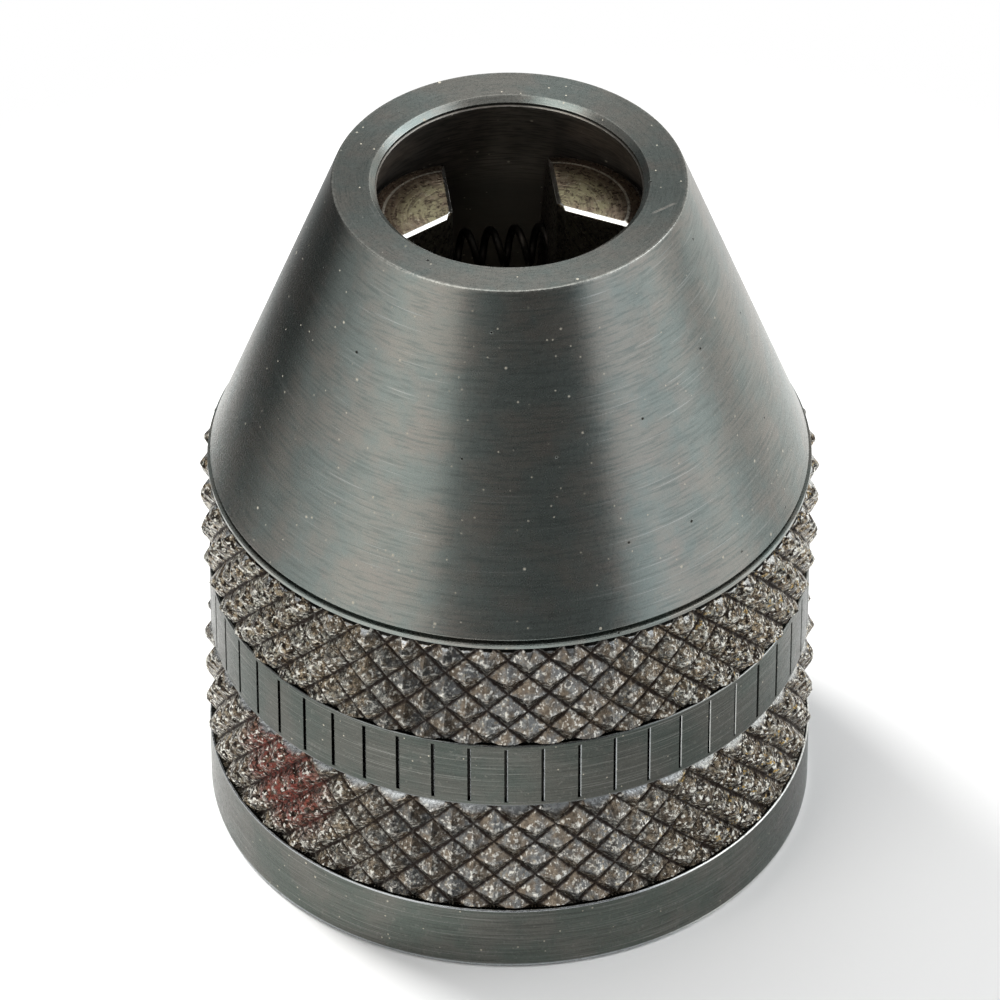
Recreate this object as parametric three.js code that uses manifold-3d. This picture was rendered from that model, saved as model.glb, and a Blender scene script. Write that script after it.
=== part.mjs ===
// A hand-tightened three-jaw drill chuck of the wedge type, shown fully open.
//
// Millimetres. +Z is the chuck's axis and points out of the nose; the origin is the centre of the rear rim.
// The outer sleeve screws on the core. As it is drawn back, its internal cone pushes the jaws inward.
import * as THREE from "three";
import { mergeVertices } from "three/addons/utils/BufferGeometryUtils.js";
import Module from "manifold-3d";

// ---- driving dimensions -------------------------------------------------------------------------------

const TOTAL_LENGTH = 24.5;
const FACETS = 72; // sides of each turned piece
const JAW_FACETS = 96; // sides of the whole cone that the three jaws are cut from
const STACK_GAP = 0.05; // between faces that rest on each other

// Nose: a flat face round the mouth and a straight cone down to the grip.
const NOSE_RADIUS = 5.6;
const NOSE_EDGE = 0.12;
const CONE_BASE_RADIUS = 9.65;
const CONE_BASE_Z = 13.71;
const CONE_SLOPE = (CONE_BASE_RADIUS - NOSE_RADIUS) / (TOTAL_LENGTH - CONE_BASE_Z);

// Inside of the sleeve: the mouth, the cone that drives the jaws, the adjusting thread and the rear bore.
const MOUTH_RADIUS = 4.2;
const MOUTH_CHAMFER = 0.17;
const MOUTH_LAND = 0.35; // depth at which the internal cone starts
const SLEEVE_THREAD_RADIUS = 7.75; // pitch radius of the M16 x 1 thread, which is drawn plain
const RELIEF_RADIUS = 8.0;
const RELIEF_LENGTH = 0.8;
const REAR_BORE_RADIUS = 8.1;
const REAR_BORE_DEPTH = 2.4;
const SLEEVE_REAR_Z = 0.15;

// Joint between the sleeve and the grip that is pressed on it.
const SEAT_RADIUS = 8.95;
const PRESS_GAP = 0.05;
const SHOULDER_Z = 13.45;
const SHOULDER_RADIUS = 9.72;
const SHOULDER_GROOVE = 0.1;

// Grip: two raised bands for the knurl, a plain band between them and a plain rear rim.
const KNURL_RADIUS = 10.0;
const KNURL_EDGE = 0.16; // chamfer at each end of a knurled band
const UPPER_KNURL = [9.58, 13.38];
const LOWER_KNURL = [2.56, 6.8];
const MIDDLE_BAND_RADIUS = 9.75;
const MIDDLE_BAND = [6.88, 9.39];
const GRIP_NECK_RADIUS = 9.6; // floor of the narrow grooves beside the middle band
const RIM_RADIUS = 9.87;
const RIM_EDGE = 0.12;

// Core: screws in the sleeve, and on the tool's spindle with a female M8 x 0.75 thread in its rear.
const CORE_RADIUS = 7.68; // pitch radius of the male M16 x 1 thread, which is drawn plain
const CORE_REAR_Z = 0.4;
const CORE_SHOULDER_Z = 1.75;
const CORE_FRONT_Z = 9.95;
const CORE_EDGE = 0.45;
const HUB_RADIUS = 6.4;
const HUB_EDGE = 0.2;
const SPINDLE_BORE_RADIUS = 3.75; // pitch radius of the spindle thread, which is drawn plain
const SPINDLE_MOUTH_RADIUS = 4.15;
const SPINDLE_BORE_END_Z = 8.1;
const SHANK_HOLE_RADIUS = 1.9;

const WASHER_RADIUS = 7.2;
const WASHER_THICKNESS = 0.8;
const WASHER_EDGE = 0.1;

// Snap ring in the sleeve's rear bore, open over a small arc.
const RING_INNER_RADIUS = 6.9;
const RING_OUTER_RADIUS = 8.4;
const RING_Z = [1.0, 1.65];
const RING_GROOVE_RADIUS = 8.55;
const RING_GROOVE_CLEARANCE = 0.08;
const RING_OPENING_DEG = 18;

// Jaws. They are turned together as one cone while closed, then cut apart, so each jaw's round faces are
// centred on its own axis, which lies JAW_TRAVEL from the chuck's axis when the chuck is open.
const JAW_COUNT = 3;
const FIRST_JAW_DEG = 37;
const JAW_TRAVEL = 1.846;
const JAW_HALF_GAP_CLOSED = 0.06;
const JAW_TIP_DISTANCE = 0.2; // from a jaw's own axis to the flat that grips the drill
const JAW_TIP_DEPTH = 1.94; // below the nose face
const JAW_FACE_RADIUS = 2.3;
const JAW_RING_RADIUS = 2.7;
const JAW_RING_DROP = 0.12;
const JAW_CONE_START = 3.1;
const JAW_CONE_CLEARANCE = 0.05;
const JAW_BODY_RADIUS = 7.3; // from the chuck's axis, when open
const JAW_EDGE_CHAMFER = 0.15;

// Springs, one across each gap between two jaws, with its ends in blind pockets in their side faces.
const SPRING_DEPTH = 5.9; // below the nose face
const SPRING_DISTANCE = 4.1; // from the chuck's axis, when open
const SPRING_COIL_RADIUS = 0.575;
const SPRING_WIRE_RADIUS = 0.125;
const SPRING_WIRE_SIDES = 6;
const SPRING_TURNS = 8;
const SPRING_STEPS_PER_TURN = 9;
const SPRING_END_GAP = 0.06;
const POCKET_RADIUS = 0.8;
const POCKET_DEPTH = 1.4;
const POCKET_SIDES = 20;

// ---- solids -------------------------------------------------------------------------------------------

const wasm = await Module();
wasm.setup();

// A closed three.js geometry as a manifold-3d solid.
function solid(geometry) {
  const bare = geometry.index ? geometry.toNonIndexed() : geometry.clone();
  bare.deleteAttribute("normal");
  bare.deleteAttribute("uv");
  const merged = mergeVertices(bare, 1e-4);
  return new wasm.Manifold(
    new wasm.Mesh({
      numProp: 3,
      vertProperties: merged.attributes.position.array,
      triVerts: new Uint32Array(merged.index.array),
    }),
  );
}

// A manifold-3d solid as a three.js geometry.
function geometryOf(made) {
  const mesh = made.getMesh();
  const geometry = new THREE.BufferGeometry();
  geometry.setAttribute("position", new THREE.BufferAttribute(mesh.vertProperties, 3));
  geometry.setIndex(new THREE.BufferAttribute(mesh.triVerts, 1));
  geometry.computeVertexNormals();
  return geometry;
}

// A turned solid about +Z. The [radius, z] outline runs anticlockwise, from the bottom outwards and up,
// and is closed here: on itself if it is clear of the axis, so it can be a ring.
function turned(outline, facets = FACETS) {
  const points = outline.map(([radius, z]) => new THREE.Vector2(radius, z));
  const onAxis = outline[0][0] === 0 && outline.at(-1)[0] === 0;
  if (!onAxis) points.push(points[0].clone());
  return new THREE.LatheGeometry(points, facets).rotateX(Math.PI / 2);
}

// The radius of the sleeve's internal cone at a depth below the nose face.
function innerConeRadius(depth) {
  return MOUTH_RADIUS + CONE_SLOPE * (depth - MOUTH_LAND);
}

function innerConeDepth(radius) {
  return MOUTH_LAND + (radius - MOUTH_RADIUS) / CONE_SLOPE;
}

// ---- the turned pieces --------------------------------------------------------------------------------

function noseSleeve() {
  const coneEndZ = TOTAL_LENGTH - innerConeDepth(RELIEF_RADIUS);
  const threadEndZ = coneEndZ - RELIEF_LENGTH;
  const groove = [RING_Z[0] - RING_GROOVE_CLEARANCE, RING_Z[1] + RING_GROOVE_CLEARANCE];
  return turned([
    [REAR_BORE_RADIUS, SLEEVE_REAR_Z],
    [SEAT_RADIUS, SLEEVE_REAR_Z],
    [SEAT_RADIUS, SHOULDER_Z],
    [SHOULDER_RADIUS, SHOULDER_Z],
    [SHOULDER_RADIUS, CONE_BASE_Z - SHOULDER_GROOVE],
    [CONE_BASE_RADIUS - SHOULDER_GROOVE, CONE_BASE_Z - SHOULDER_GROOVE / 2],
    [CONE_BASE_RADIUS, CONE_BASE_Z],
    [NOSE_RADIUS + CONE_SLOPE * NOSE_EDGE, TOTAL_LENGTH - NOSE_EDGE],
    [NOSE_RADIUS - NOSE_EDGE, TOTAL_LENGTH],
    [MOUTH_RADIUS + MOUTH_CHAMFER, TOTAL_LENGTH],
    [MOUTH_RADIUS, TOTAL_LENGTH - MOUTH_CHAMFER / 2],
    [MOUTH_RADIUS, TOTAL_LENGTH - MOUTH_LAND],
    [RELIEF_RADIUS, coneEndZ],
    [RELIEF_RADIUS, threadEndZ],
    [SLEEVE_THREAD_RADIUS, threadEndZ],
    [SLEEVE_THREAD_RADIUS, REAR_BORE_DEPTH],
    [REAR_BORE_RADIUS, REAR_BORE_DEPTH],
    [REAR_BORE_RADIUS, groove[1]],
    [RING_GROOVE_RADIUS, groove[1]],
    [RING_GROOVE_RADIUS, groove[0]],
    [REAR_BORE_RADIUS, groove[0]],
  ]);
}

function knurledGrip() {
  const bore = SEAT_RADIUS + PRESS_GAP;
  const knurlFoot = KNURL_RADIUS - 2 * KNURL_EDGE;
  return turned([
    [bore, 0],
    [RIM_RADIUS - RIM_EDGE, 0],
    [RIM_RADIUS, RIM_EDGE],
    [RIM_RADIUS, LOWER_KNURL[0]],
    [KNURL_RADIUS, LOWER_KNURL[0] + KNURL_EDGE],
    [KNURL_RADIUS, LOWER_KNURL[1] - 2 * KNURL_EDGE],
    [GRIP_NECK_RADIUS, LOWER_KNURL[1]],
    [GRIP_NECK_RADIUS, MIDDLE_BAND[0]],
    [MIDDLE_BAND_RADIUS, MIDDLE_BAND[0]],
    [MIDDLE_BAND_RADIUS, MIDDLE_BAND[1]],
    [GRIP_NECK_RADIUS, MIDDLE_BAND[1]],
    [GRIP_NECK_RADIUS, UPPER_KNURL[0]],
    [KNURL_RADIUS, UPPER_KNURL[0] + KNURL_EDGE],
    [KNURL_RADIUS, UPPER_KNURL[1] - KNURL_EDGE],
    [knurlFoot, UPPER_KNURL[1]],
    [bore, UPPER_KNURL[1]],
  ]);
}

function core() {
  return turned([
    [SPINDLE_MOUTH_RADIUS, CORE_REAR_Z],
    [HUB_RADIUS - HUB_EDGE, CORE_REAR_Z],
    [HUB_RADIUS, CORE_REAR_Z + HUB_EDGE],
    [HUB_RADIUS, CORE_SHOULDER_Z],
    [CORE_RADIUS, CORE_SHOULDER_Z],
    [CORE_RADIUS, CORE_FRONT_Z - CORE_EDGE],
    [CORE_RADIUS - CORE_EDGE, CORE_FRONT_Z],
    [SHANK_HOLE_RADIUS, CORE_FRONT_Z],
    [SHANK_HOLE_RADIUS, SPINDLE_BORE_END_Z],
    [SPINDLE_BORE_RADIUS, SPINDLE_BORE_END_Z],
    [SPINDLE_BORE_RADIUS, CORE_REAR_Z + SPINDLE_MOUTH_RADIUS - SPINDLE_BORE_RADIUS],
  ]);
}

const WASHER_Z = CORE_FRONT_Z + STACK_GAP;
const JAW_REAR_Z = WASHER_Z + WASHER_THICKNESS + STACK_GAP;

function thrustWasher() {
  const top = WASHER_Z + WASHER_THICKNESS;
  return turned([
    [SHANK_HOLE_RADIUS, WASHER_Z],
    [WASHER_RADIUS - WASHER_EDGE, WASHER_Z],
    [WASHER_RADIUS, WASHER_Z + WASHER_EDGE],
    [WASHER_RADIUS, top - WASHER_EDGE],
    [WASHER_RADIUS - WASHER_EDGE, top],
    [SHANK_HOLE_RADIUS, top],
  ]);
}

// The snap ring is a flat arc extruded through its thickness, open on the +Y side.
function retainingRing() {
  const half = THREE.MathUtils.degToRad(RING_OPENING_DEG / 2);
  const start = Math.PI / 2 + half;
  const end = Math.PI / 2 - half + 2 * Math.PI;
  const outline = new THREE.Shape();
  outline.absarc(0, 0, RING_OUTER_RADIUS, start, end, false);
  outline.absarc(0, 0, RING_INNER_RADIUS, end, start, true);
  const plate = new THREE.ExtrudeGeometry(outline, {
    depth: RING_Z[1] - RING_Z[0],
    bevelEnabled: false,
    curveSegments: FACETS,
  });
  return plate.translate(0, 0, RING_Z[0]);
}

// ---- jaws and springs ---------------------------------------------------------------------------------

// The closed set of jaws as one turned cone, about the jaws' own axis.
function jawBlank() {
  const tipZ = TOTAL_LENGTH - JAW_TIP_DEPTH;
  const ownRadiusAtNose = MOUTH_RADIUS - CONE_SLOPE * MOUTH_LAND - JAW_CONE_CLEARANCE - JAW_TRAVEL;
  const bodyRadius = JAW_BODY_RADIUS - JAW_TRAVEL;
  const coneZ = (radius) => TOTAL_LENGTH - (radius - ownRadiusAtNose) / CONE_SLOPE;
  return turned(
    [
      [0, JAW_REAR_Z],
      [bodyRadius, JAW_REAR_Z],
      [bodyRadius, coneZ(bodyRadius)],
      [JAW_CONE_START, coneZ(JAW_CONE_START)],
      [JAW_RING_RADIUS, tipZ - JAW_RING_DROP],
      [JAW_FACE_RADIUS, tipZ],
      [0, tipZ],
    ],
    JAW_FACETS,
  );
}

// The top view of one jaw: a 120 degree sector about +X, blunted at its tip, drawn inset by a margin.
function sectorShape(inset) {
  const reach = 2 * JAW_BODY_RADIUS;
  const slope = Math.tan(Math.PI / JAW_COUNT);
  const sideShift = (JAW_HALF_GAP_CLOSED + inset) / Math.cos(Math.PI / JAW_COUNT);
  const tip = JAW_TIP_DISTANCE + inset;
  const sideAt = (x) => slope * x - sideShift;
  return new THREE.Shape([
    new THREE.Vector2(tip, -sideAt(tip)),
    new THREE.Vector2(reach, -sideAt(reach)),
    new THREE.Vector2(reach, sideAt(reach)),
    new THREE.Vector2(tip, sideAt(tip)),
  ]);
}

// The sector as a tall prism whose top edge is chamfered along the sides and round the tip.
function sectorPrism() {
  const tipZ = TOTAL_LENGTH - JAW_TIP_DEPTH;
  const outer = sectorShape(0).getPoints();
  const inner = sectorShape(JAW_EDGE_CHAMFER).getPoints();
  const rings = [
    outer.map((p) => new THREE.Vector3(p.x, p.y, JAW_REAR_Z - 1)),
    outer.map((p) => new THREE.Vector3(p.x, p.y, tipZ - JAW_EDGE_CHAMFER)),
    inner.map((p) => new THREE.Vector3(p.x, p.y, tipZ)),
  ];
  return lofted(rings);
}

// A closed solid through rings of matching points, each ring a convex polygon seen anticlockwise from +Z.
function lofted(rings) {
  const count = rings[0].length;
  const position = rings.flat().flatMap((p) => p.toArray());
  const index = [];
  for (let level = 0; level + 1 < rings.length; level++) {
    for (let i = 0; i < count; i++) {
      const a = level * count + i;
      const b = level * count + ((i + 1) % count);
      index.push(a, b, b + count, a, b + count, a + count);
    }
  }
  const top = (rings.length - 1) * count;
  for (let i = 1; i + 1 < count; i++) {
    index.push(0, i + 1, i);
    index.push(top, top + i, top + i + 1);
  }
  const geometry = new THREE.BufferGeometry();
  geometry.setAttribute("position", new THREE.Float32BufferAttribute(position, 3));
  return geometry.setIndex(index);
}

// Where a spring crosses a side face, as a distance along that face from the jaw's own axis.
const POCKET_DISTANCE = SPRING_DISTANCE - JAW_TRAVEL * Math.cos(Math.PI / JAW_COUNT);
const HALF_GAP_OPEN = JAW_HALF_GAP_CLOSED + JAW_TRAVEL * Math.sin(Math.PI / JAW_COUNT);

// The pocket in the side face that lies at +60 or -60 degrees (side = 1 or -1) from the jaw's middle.
function springPocket(side) {
  const length = 2 * POCKET_DEPTH;
  const pin = new THREE.CylinderGeometry(POCKET_RADIUS, POCKET_RADIUS, length, POCKET_SIDES);
  pin.translate(POCKET_DISTANCE, -side * JAW_HALF_GAP_CLOSED, 0);
  pin.rotateZ((side * Math.PI) / JAW_COUNT);
  return pin.translate(0, 0, TOTAL_LENGTH - SPRING_DEPTH);
}

function jaw() {
  const body = solid(jawBlank()).intersect(solid(sectorPrism()));
  const made = body.subtract(solid(springPocket(1))).subtract(solid(springPocket(-1)));
  return geometryOf(made);
}

// A coil along X, as long as the open gap and both pockets less a small clearance at each end.
function jawSpring() {
  const length = 2 * (HALF_GAP_OPEN + POCKET_DEPTH - SPRING_END_GAP - SPRING_WIRE_RADIUS);
  class Helix extends THREE.Curve {
    getPoint(t, target = new THREE.Vector3()) {
      const angle = 2 * Math.PI * SPRING_TURNS * t;
      return target.set(
        length * (t - 0.5),
        SPRING_COIL_RADIUS * Math.cos(angle),
        SPRING_COIL_RADIUS * Math.sin(angle),
      );
    }
  }
  const section = new THREE.Shape();
  for (let i = 0; i < SPRING_WIRE_SIDES; i++) {
    const angle = (2 * Math.PI * i) / SPRING_WIRE_SIDES;
    const corner = [SPRING_WIRE_RADIUS * Math.cos(angle), SPRING_WIRE_RADIUS * Math.sin(angle)];
    if (i === 0) section.moveTo(...corner);
    else section.lineTo(...corner);
  }
  section.closePath();
  return new THREE.ExtrudeGeometry(section, {
    extrudePath: new Helix(),
    steps: SPRING_TURNS * SPRING_STEPS_PER_TURN,
    bevelEnabled: false,
  });
}

// ---- the assembly -------------------------------------------------------------------------------------

function metal(color, roughness, metalness) {
  return new THREE.MeshStandardMaterial({ color, roughness, metalness });
}

const chuck = new THREE.Group();

function add(name, geometry, material, parent = chuck) {
  const mesh = new THREE.Mesh(geometry, material);
  mesh.name = name;
  parent.add(mesh);
  return mesh;
}

add("nose_sleeve", noseSleeve(), metal(0x4c5654, 0.36, 0.9));
add("knurled_grip", knurledGrip(), metal(0x4a4640, 0.45, 0.85));
add("core", core(), metal(0x5c6060, 0.4, 0.9));
add("thrust_washer", thrustWasher(), metal(0x9a9a96, 0.25, 1.0));
add("retaining_ring", retainingRing(), metal(0x34363a, 0.4, 0.9));

for (let i = 0; i < JAW_COUNT; i++) {
  const angle = THREE.MathUtils.degToRad(FIRST_JAW_DEG) + (2 * Math.PI * i) / JAW_COUNT;
  const mount = new THREE.Group();
  mount.rotation.z = angle;
  chuck.add(mount);
  const piece = add(`jaw_${i + 1}`, jaw(), metal(0xb8b09a, 0.3, 1.0), mount);
  piece.position.x = JAW_TRAVEL;

  const gap = new THREE.Group();
  gap.rotation.z = angle + Math.PI / JAW_COUNT;
  chuck.add(gap);
  const spring = add(`jaw_spring_${i + 1}`, jawSpring(), metal(0xa8a8a4, 0.3, 1.0), gap);
  spring.position.set(SPRING_DISTANCE, 0, TOTAL_LENGTH - SPRING_DEPTH);
  spring.rotation.z = Math.PI / 2;
}

export default chuck;
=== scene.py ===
"""The looks of the drill chuck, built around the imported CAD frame.

Lengths are millimetres here and metres in Blender. The shapes repeat the part's driving dimensions, and
heights come from the frame's boxes. Each physical piece and each finish has one function.
"""

import math

import bpy
import numpy as np
from mathutils import Matrix, Vector, noise


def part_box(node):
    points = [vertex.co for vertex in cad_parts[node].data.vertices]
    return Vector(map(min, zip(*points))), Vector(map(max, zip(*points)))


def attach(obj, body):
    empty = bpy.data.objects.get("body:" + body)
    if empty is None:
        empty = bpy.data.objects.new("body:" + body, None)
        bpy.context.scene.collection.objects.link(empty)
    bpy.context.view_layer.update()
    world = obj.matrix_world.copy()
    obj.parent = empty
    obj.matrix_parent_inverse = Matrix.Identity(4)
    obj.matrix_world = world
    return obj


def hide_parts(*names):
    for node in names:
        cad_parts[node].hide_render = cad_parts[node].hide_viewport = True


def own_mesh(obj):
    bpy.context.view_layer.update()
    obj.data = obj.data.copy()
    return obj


MM = 0.001

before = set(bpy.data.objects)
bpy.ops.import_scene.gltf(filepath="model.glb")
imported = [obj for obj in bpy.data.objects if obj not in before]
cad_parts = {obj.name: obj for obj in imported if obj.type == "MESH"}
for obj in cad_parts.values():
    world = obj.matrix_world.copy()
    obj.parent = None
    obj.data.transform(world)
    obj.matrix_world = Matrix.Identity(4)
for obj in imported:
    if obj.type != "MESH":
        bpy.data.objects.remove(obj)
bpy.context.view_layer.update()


def node_span(node):
    """The lowest and highest z of a CAD node, in millimetres."""
    low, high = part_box(node)
    return low.z / MM, high.z / MM


def node_radius(node):
    """Half the width of a CAD node along X, in millimetres."""
    low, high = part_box(node)
    return (high.x - low.x) / (2 * MM)


# ---- dimensions, in millimetres ----

SLEEVE_REAR_Z, NOSE_Z = node_span("nose_sleeve")
GRIP_REAR_Z, GRIP_FRONT_Z = node_span("knurled_grip")
CORE_REAR_Z, CORE_FRONT_Z = node_span("core")
JAW_REAR_Z, JAW_TIP_Z = node_span("jaw_1")
KNURL_RADIUS = node_radius("knurled_grip")

NOSE_RADIUS = 5.6
CONE_BASE_RADIUS = 9.65
CONE_BASE_Z = 13.71
CONE_SLOPE = (CONE_BASE_RADIUS - NOSE_RADIUS) / (NOSE_Z - CONE_BASE_Z)
MOUTH_RADIUS = 4.2
MOUTH_CHAMFER = 0.21
MOUTH_LAND = 0.35
RELIEF_RADIUS = 8.0
RELIEF_LENGTH = 0.8
REAR_BORE_RADIUS = 8.1
REAR_BORE_DEPTH = 2.4
RING_GROOVE_RADIUS = 8.55
RING_GROOVE_CLEARANCE = 0.08
RING_OUTER_RADIUS = 8.4
RING_INNER_RADIUS = 6.9
RING_OPENING_DEG = 18.0
FLAT_RING_EDGE = 0.1
SEAT_RADIUS = 8.95
GRIP_BORE_RADIUS = SEAT_RADIUS + 0.05
SHOULDER_Z = 13.45
SHOULDER_RADIUS = 9.72
JOINT_LINE = (CONE_BASE_Z - 0.1, CONE_BASE_Z - 0.03)  # the dark line under the cone's foot
JOINT_LINE_RADIUS = CONE_BASE_RADIUS - 0.16

ADJUSTING_PITCH = 1.0
ADJUSTING_ROOT_RADIUS = 8.02
ADJUSTING_MINOR_RADIUS = 7.48
ADJUSTING_MALE_CREST = 7.92
ADJUSTING_MALE_ROOT = 7.4
SPINDLE_PITCH = 0.75
SPINDLE_CREST_RADIUS = 3.59
SPINDLE_ROOT_RADIUS = 4.0

UPPER_KNURL = (9.5, GRIP_FRONT_Z)
LOWER_KNURL = (2.52, 6.8)
KNURL_STARTS = 46
KNURL_AXIAL_PERIOD = 1.42
KNURL_DEPTH = 0.4
KNURL_CROWN = 0.12  # how far a diamond's facets bulge, as a share of the depth
KNURL_TIP_FLAT = 0.01
KNURL_ROUGHNESS = ((0.9, 0.03), (2.7, 0.02), (6.0, 0.012))  # (bumps to a millimetre, depth)
KNURL_FRONT_WEAR = 0.7  # times the roughness at front and back, and 1 more at the two sides
KNURL_CUTTER_REACH = 0.6  # how far the cutter stands out of the grip
KNURL_CHAMFER = 0.4
KNURL_END_CHAMFER = (0.22, 0.17)  # (radial, axial), at the rear end of each knurled band
LOWER_LAND_RADIUS = 9.77  # the plain land behind each knurled band, which its grooves run out on
UPPER_LAND_RADIUS = 9.66
UPPER_PEAK = (-86.4, 12.93)  # (degrees, z) of one pyramid's tip
LOWER_PEAK = (-85.1, 5.96)
UPPER_SEED = 3.0  # which part of the noise field roughens each knurled band
LOWER_SEED = 17.0
MIDDLE_BAND = (6.88, 9.42)
MIDDLE_BAND_RADIUS = 9.75
BAND_GROOVES = 52
FIRST_GROOVE_DEG = -90.6
BAND_GROOVE_WIDTH = 0.13
BAND_SLOT_WIDTH = 0.092
BAND_FLANK_DEPTH = 0.03
BAND_GROOVE_DEPTH = 0.13
BAND_SHADED_SIDE = 0.78  # share of the radius along +X past which the flanks are painted dark as shade, not bright as a highlight
BAND_GROOVE_MARGIN = 0.16
NECK_RADIUS = 9.58
RIM_RADIUS = 9.87
RIM_TOP_Z = 2.46

CORE_SHOULDER_Z = 1.75
HUB_RADIUS = 6.4
SHANK_HOLE_RADIUS = 1.9
SPINDLE_BORE_END_Z = 8.1

JAW_COUNT = 3
FIRST_JAW_DEG = 37.0
JAW_TRAVEL = 1.846
JAW_HALF_GAP_CLOSED = 0.06
JAW_TIP_DISTANCE = 0.2
JAW_FACE_RADIUS = 2.3
JAW_RING_RADIUS = 2.7
JAW_RING_DROP = 0.12
JAW_CONE_START = 3.1
JAW_CONE_CLEARANCE = 0.05
JAW_BODY_RADIUS = 7.3
JAW_EDGE_CHAMFER = 0.115
JAW_EDGE_ROUND = 0.025

SPRING_Z = NOSE_Z - 5.9
SPRING_DISTANCE = 4.1
SPRING_COIL_RADIUS = 0.575
SPRING_WIRE_RADIUS = 0.125
SPRING_ACTIVE_TURNS = 6.5
SPRING_END_TURNS = 1.0
SPRING_END_GAP = 0.06
POCKET_RADIUS = 0.8
POCKET_DEPTH = 1.4

HALF_ANGLE = math.pi / JAW_COUNT
HALF_GAP_OPEN = JAW_HALF_GAP_CLOSED + JAW_TRAVEL * math.sin(HALF_ANGLE)
POCKET_DISTANCE = SPRING_DISTANCE - JAW_TRAVEL * math.cos(HALF_ANGLE)

SEGMENTS = 256  # round the smooth turned pieces
CORE_SEGMENTS = 160
RING_STEPS = 160
POCKET_SEGMENTS = 48
KNURL_STEPS = 12  # mesh steps across one knurl diamond
THREAD_ROWS = 12  # mesh rows in one thread pitch
SPRING_STEPS = 28  # mesh steps in one turn of a spring
SPRING_SIDES = 12
SHARP_DEG = 32.0  # an edge that turns further than this stays sharp
KNURL_SHARP_DEG = 24.0
SPRING_SHARP_DEG = 60.0
BEVEL_DEG = 25.0  # a jaw's edge that turns further than this is rounded
CUT_MARGIN = 0.02  # how far a knurl's cutter runs past its band


def inner_cone_z(radius):
    """The height at which the sleeve's internal cone has a radius."""
    return NOSE_Z - MOUTH_LAND - (radius - MOUTH_RADIUS) / CONE_SLOPE


# ---- mesh tools ----


def make_object(name, vertices, faces, edge_wear_and_shade=None, sharp_deg=SHARP_DEG):
    """A mesh object from millimetre vertices, smooth apart from edges sharper than sharp_deg.

    Its edge values, one per vertex, are 1 on a rubbed edge and -1 in a corner painted dark as shade, for the
    finishes.
    """
    mesh = bpy.data.meshes.new(name)
    mesh.from_pydata((np.asarray(vertices, float) * MM).tolist(), [], faces)
    mesh.update()
    wear_and_shade = mesh.attributes.new("edge", "FLOAT", "POINT")
    if edge_wear_and_shade is not None:
        wear_and_shade.data.foreach_set("value", np.asarray(edge_wear_and_shade, np.float32))
    mesh.shade_smooth()
    mesh.set_sharp_from_angle(angle=math.radians(sharp_deg))
    made = bpy.data.objects.new(name, mesh)
    bpy.context.scene.collection.objects.link(made)
    return made


def rounded(corners, steps=5, support=0.06):
    """(radius, z, wear and shade) points of a closed outline from (radius, z, fillet) corners.

    Each arc has a support point beside each of its ends, so that the flats stay flat when the mesh is smooth.
    A fourth value is the corner's wear, or -1 where the corner is painted dark as shade: by default 1 on a
    fillet and 0 elsewhere.
    """
    outline = []
    count = len(corners)
    for i, (radius, z, fillet, *given_wear_and_shade) in enumerate(corners):
        wear_and_shade = given_wear_and_shade[0] if given_wear_and_shade else float(fillet > 0)
        here = Vector((radius, z))
        to_last = Vector(corners[i - 1][:2]) - here
        to_next = Vector(corners[(i + 1) % count][:2]) - here
        if not fillet:
            outline.append((radius, z, wear_and_shade))
            continue
        u, w = to_last.normalized(), to_next.normalized()
        half = u.angle(w) / 2
        reach = fillet / math.tan(half)
        centre = here + (u + w).normalized() * (fillet / math.sin(half))
        start, end = here + u * reach, here + w * reach
        room = min(to_last.length, to_next.length) / 2 - reach
        margin = min(support, max(room, 0.0) * 0.5)
        outline.append((*(start + u * margin), 0.0))
        a, b = start - centre, end - centre
        for k in range(steps + 1):
            arm = a.lerp(b, k / steps)
            outline.append((*(centre + arm.normalized() * fillet), wear_and_shade))
        outline.append((*(end + w * margin), 0.0))
    return outline


def ring_quads(a, b, count, flip=False):
    """Quads between two rings of count vertices, whose first vertices are a and b."""
    steps = [(i, (i + 1) % count) for i in range(count)]
    if flip:
        return [(a + i, b + i, b + n, a + n) for i, n in steps]
    return [(a + i, a + n, b + n, b + i) for i, n in steps]


def polar(radius, angle, z=0.0):
    return (radius * math.cos(angle), radius * math.sin(angle), z)


def revolved(name, outline, segments=SEGMENTS):
    """A closed ring turned from (radius, z, wear and shade) points. A thread's radius is a function of the
    angle.
    """
    angles = np.arange(segments) * 2 * np.pi / segments
    cos, sin = np.cos(angles), np.sin(angles)
    rows, wear_and_shade = [], []
    for radius, z, worn_or_shaded in outline:
        r = radius(angles) if callable(radius) else np.full(segments, float(radius))
        rows.append(np.stack([r * cos, r * sin, np.full(segments, z)], axis=1))
        wear_and_shade.append(np.full(segments, worn_or_shaded))
    faces = []
    count = len(outline)
    for row in range(count):
        faces += ring_quads(row * segments, ((row + 1) % count) * segments, segments)
    return make_object(name, np.concatenate(rows), faces, np.concatenate(wear_and_shade))


def thread_rows(z_from, z_to, pitch, crest_radius, root_radius, fade=0.6):
    """Outline rows of a right-hand 60 degree thread between two heights, faded out to its crest at both
    ends. An internal thread's crest is the smaller radius."""
    count = int(round(abs(z_to - z_from) / pitch * THREAD_ROWS))
    low, high = sorted((z_from, z_to))
    flat = 0.15  # share of the pitch that is flat, at the crest and at the root
    rows = []
    for k in range(count + 1):
        z = z_from + (z_to - z_from) * k / count
        ends = min(z - low, high - z) / fade
        depth = min(max(ends, 0.0), 1.0)

        def radius(angles, z=z, depth=depth):
            phase = np.mod(z / pitch - angles / (2 * np.pi), 1.0)
            wave = np.abs(2 * phase - 1)  # 1 at the groove, 0 at the crest
            cut = np.clip((wave - flat) / (1 - 2 * flat), 0, 1)
            return crest_radius + (root_radius - crest_radius) * cut * depth

        rows.append((radius, z, 0.0))
    return rows


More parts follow.
